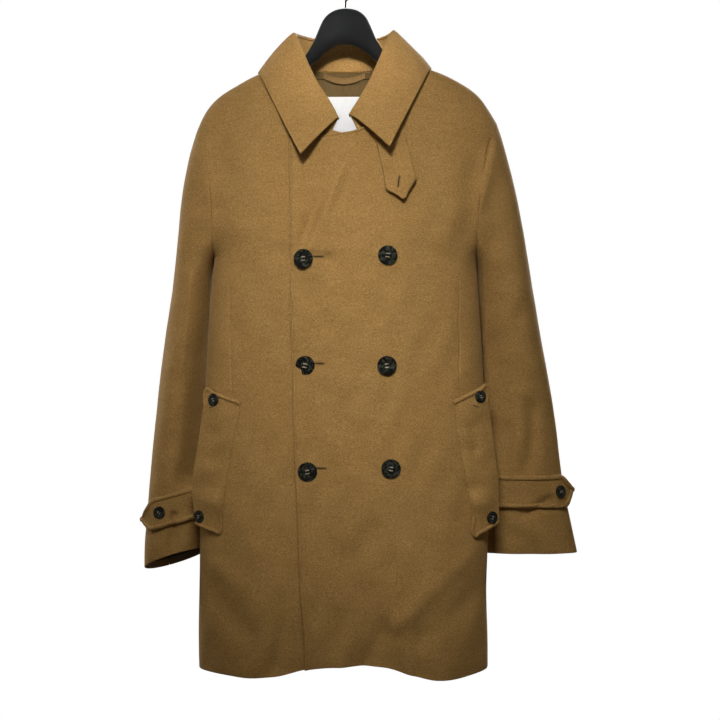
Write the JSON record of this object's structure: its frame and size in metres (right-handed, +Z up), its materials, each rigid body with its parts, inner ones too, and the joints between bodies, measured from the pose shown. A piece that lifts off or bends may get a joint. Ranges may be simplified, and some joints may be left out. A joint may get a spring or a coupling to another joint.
{
  "type": "trench coat on a hanger",
  "caption": "Double-breasted trench-style wool coat on a moulded hanger: hollow body and sleeves, turned-down collar with throat latch, buttoned pocket welts and cuff straps.",
  "frame": {"origin": "inside top of the hanger's hook, where a rod touches it", "axes": "+Z up, the coat's front faces -Y, the wearer's left is +X"},
  "size_m": [0.6418, 0.1946, 1.0178],
  "materials": {
    "wool": "napped wool melton",
    "lining": "satin",
    "dark_lining": "satin",
    "label": "plain woven tape",
    "horn": "polished",
    "black_plastic": "fine moulded texture",
    "steel": "polished"
  },
  "bodies": {
    "root": {"back_left": "wool", "back_right": "wool", "collar_fall": "wool", "collar_stand": "wool", "cuff_button_left": "horn", "cuff_button_right": "horn", "cuff_lining_left": "dark_lining", "cuff_lining_right": "dark_lining", "cuff_strap_left": "wool", "cuff_strap_right": "wool", "front_button_left_low": "horn", "front_button_left_middle": "horn", "front_button_left_top": "horn", "front_button_right_low": "horn", "front_button_right_middle": "horn", "front_button_right_top": "horn", "front_left": "wool", "front_right": "wool", "hanger_body": "black_plastic", "hanger_hook": "steel", "hanger_loop": "lining", "neck_label": "label", "neck_lining": "lining", "pocket_button_left_low": "horn", "pocket_button_left_top": "horn", "pocket_button_right_low": "horn", "pocket_button_right_top": "horn", "pocket_welt_left": "wool", "pocket_welt_right": "wool", "throat_latch": "wool", "top_sleeve_left": "wool", "top_sleeve_right": "wool", "under_sleeve_left": "wool", "under_sleeve_right": "wool"}
  },
  "joints": []
}
